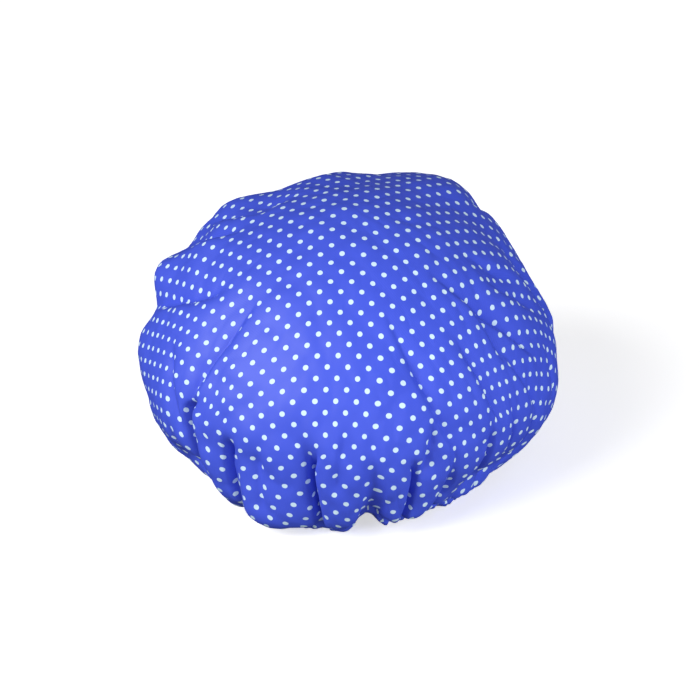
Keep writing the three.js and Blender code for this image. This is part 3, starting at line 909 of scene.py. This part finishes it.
# Printed polyester pongee is a tight plain weave of fine smooth threads. It gives the eye a soft, broad
# shine, a blue that varies a little where the dye took unevenly, and crisp dots that are more matt than the
# cloth, because they are printed on top of it.
printed_cloth = new_material("printed_polyester_pongee")
tree = printed_cloth.node_tree
cloth_uv = add(tree, "ShaderNodeUVMap", {"uv_map": "flat_cloth"})
cloth_mm = add(
    tree,
    "ShaderNodeMapping",
    Vector=cloth_uv.outputs[0],
    Scale=(1 / MM, 1 / MM, 1 / MM),
    Rotation=(0.0, 0.0, PRINT_TURN),
    Location=PRINT_SHIFT,
).outputs[0]


def dot_distance(shift):
    """Distance in mm from the dot in the middle of a cell of the lattice: the place, less its cell's corner,
    measured from the middle of the cell."""
    spacing = (DOT_ACROSS, DOT_ALONG, 1.0)
    half = (DOT_ACROSS / 2, DOT_ALONG / 2, 0.0)
    moved = add(tree, "ShaderNodeVectorMath", {"operation": "ADD"}, in0=cloth_mm, in1=shift).outputs[0]
    corner = add(tree, "ShaderNodeVectorMath", {"operation": "SNAP"}, in0=moved, in1=spacing).outputs[0]
    inside = add(tree, "ShaderNodeVectorMath", {"operation": "SUBTRACT"}, in0=moved, in1=corner).outputs[0]
    distance = add(tree, "ShaderNodeVectorMath", {"operation": "DISTANCE"}, in0=inside, in1=half)
    return distance.outputs["Value"]


nearest_dot = add(
    tree,
    "ShaderNodeMath",
    {"operation": "MINIMUM"},
    in0=dot_distance((0.0, 0.0, 0.0)),
    in1=dot_distance((DOT_ACROSS / 2, DOT_ALONG / 2, 0.0)),
)
dot_mask = add(
    tree,
    "ShaderNodeMapRange",
    {"interpolation_type": "SMOOTHSTEP"},
    Value=nearest_dot.outputs[0],
    From_Min=DOT_RADIUS + DOT_EDGE / 2,
    From_Max=DOT_RADIUS - DOT_EDGE / 2,
)
print("dots", 2 * DOT_RADIUS, "mm across, on a lattice of", DOT_ACROSS, "x", DOT_ALONG, "mm")

# %% The cloth's colour, weave and shine
DYE_PATCH = 45
CRINKLE_SIZE = 9
CRINKLE_DEPTH = 0.6
WEAVE_PITCH = 1.0
WEAVE_DEPTH = 0.06

dye = add(tree, "ShaderNodeTexNoise", Vector=cloth_mm, Scale=1 / DYE_PATCH, Detail=3.0)
blue = add(
    tree,
    "ShaderNodeMix",
    {"data_type": "RGBA"},
    in0=dye.outputs[0],
    in6=linear("#4055d8"),
    in7=linear("#475de2"),
)
print_colour = add(
    tree,
    "ShaderNodeMix",
    {"data_type": "RGBA"},
    in0=dot_mask.outputs[0],
    in6=blue.outputs[2],
    in7=linear("#d0eafb"),
)
crinkle = add(tree, "ShaderNodeTexNoise", Vector=cloth_mm, Scale=1 / CRINKLE_SIZE, Detail=4.0)
crinkled = add(
    tree, "ShaderNodeBump", Strength=0.25, Distance=CRINKLE_DEPTH * MM, Height=crinkle.outputs[0]
)
# A plain weave rises and falls as the sine along the warp times the sine along the weft. The real cloth has
# about 4 threads to the mm, too fine to show, so the weave is drawn with 1 to the mm.
threads = add(
    tree, "ShaderNodeVectorMath", {"operation": "SCALE"}, in0=cloth_mm, Scale=np.pi / WEAVE_PITCH
)
over_under = add(tree, "ShaderNodeVectorMath", {"operation": "SINE"}, in0=threads.outputs[0])
warp, weft = add(tree, "ShaderNodeSeparateXYZ", Vector=over_under.outputs[0]).outputs[:2]
weave = add(tree, "ShaderNodeMath", {"operation": "MULTIPLY"}, in0=warp, in1=weft)
woven = add(
    tree,
    "ShaderNodeBump",
    Strength=0.35,
    Distance=WEAVE_DEPTH * MM,
    Height=weave.outputs[0],
    Normal=crinkled.outputs[0],
)
print_gloss = add(tree, "ShaderNodeMapRange", Value=dot_mask.outputs[0], To_Min=0.55, To_Max=0.65)
cloth_shader = add(
    tree,
    "ShaderNodeBsdfPrincipled",
    Base_Color=print_colour.outputs[2],
    Roughness=print_gloss.outputs[0],
    Specular_IOR_Level=0.5,
    Normal=woven.outputs[0],
)
add(tree, "ShaderNodeOutputMaterial", Surface=cloth_shader.outputs[0])
cap_cloth.data.materials.append(printed_cloth)
print("cloth finish:", len(tree.nodes), "nodes")

# %% [markdown]
# ## Film, thread and elastic
#
# The film is blown polyethylene: milky, smooth enough to shine a little, and crinkled by handling. The
# thread is spun polyester in the blue of the cloth, and its twist shows as slanting bands, with painted
# light on the plies and painted shade between them. The elastic is woven over rubber threads, which show as
# ribs along it, painted lighter on top and with painted shade between, and its tack is sewn with the same
# kind of thread in white. The last two lie inside the casing. They could be modelled again, but nobody sees
# them there, so they keep the shapes of the imported model.

# %% Milky film
FILM_CLOUD = 60
FILM_CRINKLE = 7
FILM_CRINKLE_DEPTH = 0.5

# Blown polyethylene film gives the eye a cloudy white that is nowhere quite even, small soft highlights, and
# the flat facets that handling leaves in it.
milky_film = new_material("milky_polyethylene_film")
tree = milky_film.node_tree
film_uv = add(tree, "ShaderNodeUVMap", {"uv_map": "flat_cloth"})
film_mm = add(tree, "ShaderNodeVectorMath", {"operation": "SCALE"}, in0=film_uv.outputs[0], Scale=1 / MM)
cloud = add(tree, "ShaderNodeTexNoise", Vector=film_mm.outputs[0], Scale=1 / FILM_CLOUD, Detail=4.0)
milk = add(
    tree,
    "ShaderNodeMix",
    {"data_type": "RGBA"},
    in0=cloud.outputs[0],
    in6=linear("#aeb9ea"),
    in7=linear("#d3dbf6"),
)
handled = add(
    tree,
    "ShaderNodeTexVoronoi",
    {"feature": "DISTANCE_TO_EDGE"},
    Vector=film_mm.outputs[0],
    Scale=1 / FILM_CRINKLE,
)
faceted = add(
    tree,
    "ShaderNodeBump",
    Strength=0.3,
    Distance=FILM_CRINKLE_DEPTH * MM,
    Height=handled.outputs["Distance"],
)
film_gloss = add(tree, "ShaderNodeMapRange", Value=cloud.outputs[0], To_Min=0.24, To_Max=0.38)
film_shader = add(
    tree,
    "ShaderNodeBsdfPrincipled",
    Base_Color=milk.outputs[2],
    Roughness=film_gloss.outputs[0],
    IOR=1.51,
    Normal=faceted.outputs[0],
)
add(tree, "ShaderNodeOutputMaterial", Surface=film_shader.outputs[0])
cap_film.data.materials.append(milky_film)
print("film finish:", len(tree.nodes), "nodes")

# %% Twisted and woven finishes
# At a scale of 1 the wave node makes one band for every TURN / 20 of its coordinate.
WAVE_RATE = 20


def banded(name, spacing, slant, groove_shade, light, roughness, depth):
    """A finish of fine bands: a sine along a slanted direction of Object space, spacing mm from band to
    band, that mixes two colours and raises the light bands by depth mm. The colours are painted light and
    shade: the light colour on the raised bands, and the dark one as painted shade in the low bands between
    them."""
    material = new_material(name)
    nodes = material.node_tree
    place = add(nodes, "ShaderNodeTexCoord")
    turned = add(nodes, "ShaderNodeMapping", Vector=place.outputs["Object"], Rotation=slant)
    band = add(
        nodes,
        "ShaderNodeTexWave",
        {"bands_direction": "Z"},
        Vector=turned.outputs[0],
        Scale=TURN / WAVE_RATE / (spacing * MM),
        Distortion=0.6,
        Detail=1.0,
    )
    # Painted light on the raised bands and painted shade in the grooves between them.
    colour = add(
        nodes,
        "ShaderNodeMix",
        {"data_type": "RGBA"},
        in0=band.outputs["Fac"],
        in6=linear(groove_shade),
        in7=linear(light),
    )
    relief = add(nodes, "ShaderNodeBump", Strength=0.6, Distance=depth * MM, Height=band.outputs["Fac"])
    shader = add(
        nodes,
        "ShaderNodeBsdfPrincipled",
        Base_Color=colour.outputs[2],
        Roughness=roughness,
        Specular_IOR_Level=0.3,
        Normal=relief.outputs[0],
    )
    add(nodes, "ShaderNodeOutputMaterial", Surface=shader.outputs[0])
    return material


# Spun polyester thread is matt, and its two plies give slanting bands in the colour: painted light on the
# ply and painted shade between plies.
THREAD_TWIST = {"spacing": 0.5, "slant": (0.5, 0.4, 0), "roughness": 0.6, "depth": 0.08}
blue_thread = banded("blue_spun_polyester_thread", groove_shade="#2c3db0", light="#5068e0", **THREAD_TWIST)
white_thread = banded("white_spun_polyester_thread", groove_shade="#c9c7be", light="#f1f0ea", **THREAD_TWIST)

# Woven elastic has yarn over straight rubber threads. It gives the eye a dull off-white with level ribs,
# painted lighter on top and with painted shade between them.
ELASTIC_RIBS = {"spacing": 0.9, "slant": (0, 0, 0), "roughness": 0.8, "depth": 0.15}
woven_elastic = banded("woven_rib_elastic", groove_shade="#d3d2c8", light="#efeee7", **ELASTIC_RIBS)

for stitches in (needle_stitches, bobbin_stitches):
    stitches.data.materials.append(blue_thread)
for node, finish in (("elastic_band", woven_elastic), ("elastic_tack", white_thread)):
    solid = bpy.data.objects[node]
    solid.data.materials.clear()
    solid.data.materials.append(finish)

# %% [markdown]
# ## Which solid each piece stands for
#
# The soft solids of the imported model stay in the physics. Here the sheets replace them. Nothing in a cap
# moves on a joint, so every piece rides on the one body.

# %% Ride and replace
for piece, node, slot in (
    (cap_cloth, "outer_cloth", "printed_cloth"),
    (cap_film, "waterproof_lining", "lining_film"),
    (needle_stitches, "seam_needle_thread", "seam_thread"),
    (bobbin_stitches, "seam_bobbin_thread", "seam_thread"),
):
    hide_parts(node)
    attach(piece, "root")
    print(piece.name, "stands for", node)

# %% [markdown]
# ## The studio
#
# The cap stands on a pale floor in a dim even room. One large key light at the upper left shapes the lobes,
# and three weak fills, from the right, low in front and low behind, open the shade. A single bright room
# would be simpler, but it flattens folds. The fills and the room add no gloss, so the shaded cloth keeps its
# deep blue, and the floor throws no light back on to the cap. The camera looks down on the front from far
# off, so that the cap keeps its proportions.

# %% Floor and room
FLOOR_SIZE = 12
FLOOR_GLOW = 0.55
ROOM_STRENGTH = 0.15
bpy.ops.mesh.primitive_plane_add(size=FLOOR_SIZE)
floor = bpy.context.object
floor.name = "floor"
floor.visible_diffuse = False
floor.visible_glossy = False

# A matt paper sweep, which glows a little so that it reads as white all over.
pale = new_material("pale_paper_sweep")
floor_shader = add(
    pale.node_tree,
    "ShaderNodeBsdfPrincipled",
    Base_Color=linear("#f4f4f4"),
    Roughness=0.9,
    Emission_Color=linear("#ffffff"),
    Emission_Strength=FLOOR_GLOW,
)
add(pale.node_tree, "ShaderNodeOutputMaterial", Surface=floor_shader.outputs[0])
floor.data.materials.append(pale)

room = bpy.data.worlds.new("room")
bpy.context.scene.world = room
room.use_nodes = True
room.node_tree.nodes["Background"].inputs["Color"].default_value = linear("#ffffff")
room.node_tree.nodes["Background"].inputs["Strength"].default_value = ROOM_STRENGTH
room.cycles_visibility.glossy = False
bpy.context.scene.view_settings.view_transform = "Standard"
print("floor", FLOOR_SIZE, "m wide")

# %% Lights
LIGHT_TARGET = Vector((0, 0.02, 0.08))
LIGHTS = (
    # name, place and width in metres, watts, whether it shows in gloss
    ("key_light", (-1.65, -1.1, 1.35), 1.6, 58, True),
    ("side_light", (1.95, -1.0, 0.6), 1.2, 30, False),
    ("low_light", (0.5, -1.9, 0.2), 1.2, 12, False),
    ("back_light", (0.6, 2.2, 0.3), 1.2, 12, False),
)
for name, place, width, watts, shines in LIGHTS:
    light = bpy.data.lights.new(name, "AREA")
    light.size = width
    light.energy = watts
    lamp = bpy.data.objects.new(name, light)
    lamp.location = place
    lamp.rotation_euler = (LIGHT_TARGET - Vector(place)).to_track_quat("-Z", "Y").to_euler()
    lamp.visible_glossy = shines
    bpy.context.scene.collection.objects.link(lamp)
    print(name, watts, "W")

# %% Camera
VIEW_ELEVATION = np.radians(27.7)
VIEW_DISTANCE = 1900
VIEW_CENTRE = np.array([0.5, 20, 78])
VIEW_DROP = 1.9
VIEW_REACH = 50
PIXELS_PER_MM = 1.5
IMAGE_PIXELS = 700
SENSOR = 36

to_camera = np.array([0, -np.cos(VIEW_ELEVATION), np.sin(VIEW_ELEVATION)])
picture_up = np.array([0, np.sin(VIEW_ELEVATION), np.cos(VIEW_ELEVATION)])
aim = VIEW_CENTRE - VIEW_DROP * picture_up
camera = bpy.data.objects.new("camera", bpy.data.cameras.new("camera"))
camera.data.sensor_width = SENSOR
camera.data.lens = PIXELS_PER_MM * VIEW_DISTANCE * SENSOR / IMAGE_PIXELS
camera.data.clip_end = VIEW_REACH
camera.location = (aim + to_camera * VIEW_DISTANCE) * MM
camera.rotation_euler = Vector(-to_camera).to_track_quat("-Z", "Y").to_euler()
bpy.context.scene.collection.objects.link(camera)
bpy.context.scene.camera = camera
print("lens", round(camera.data.lens, 1), "mm")
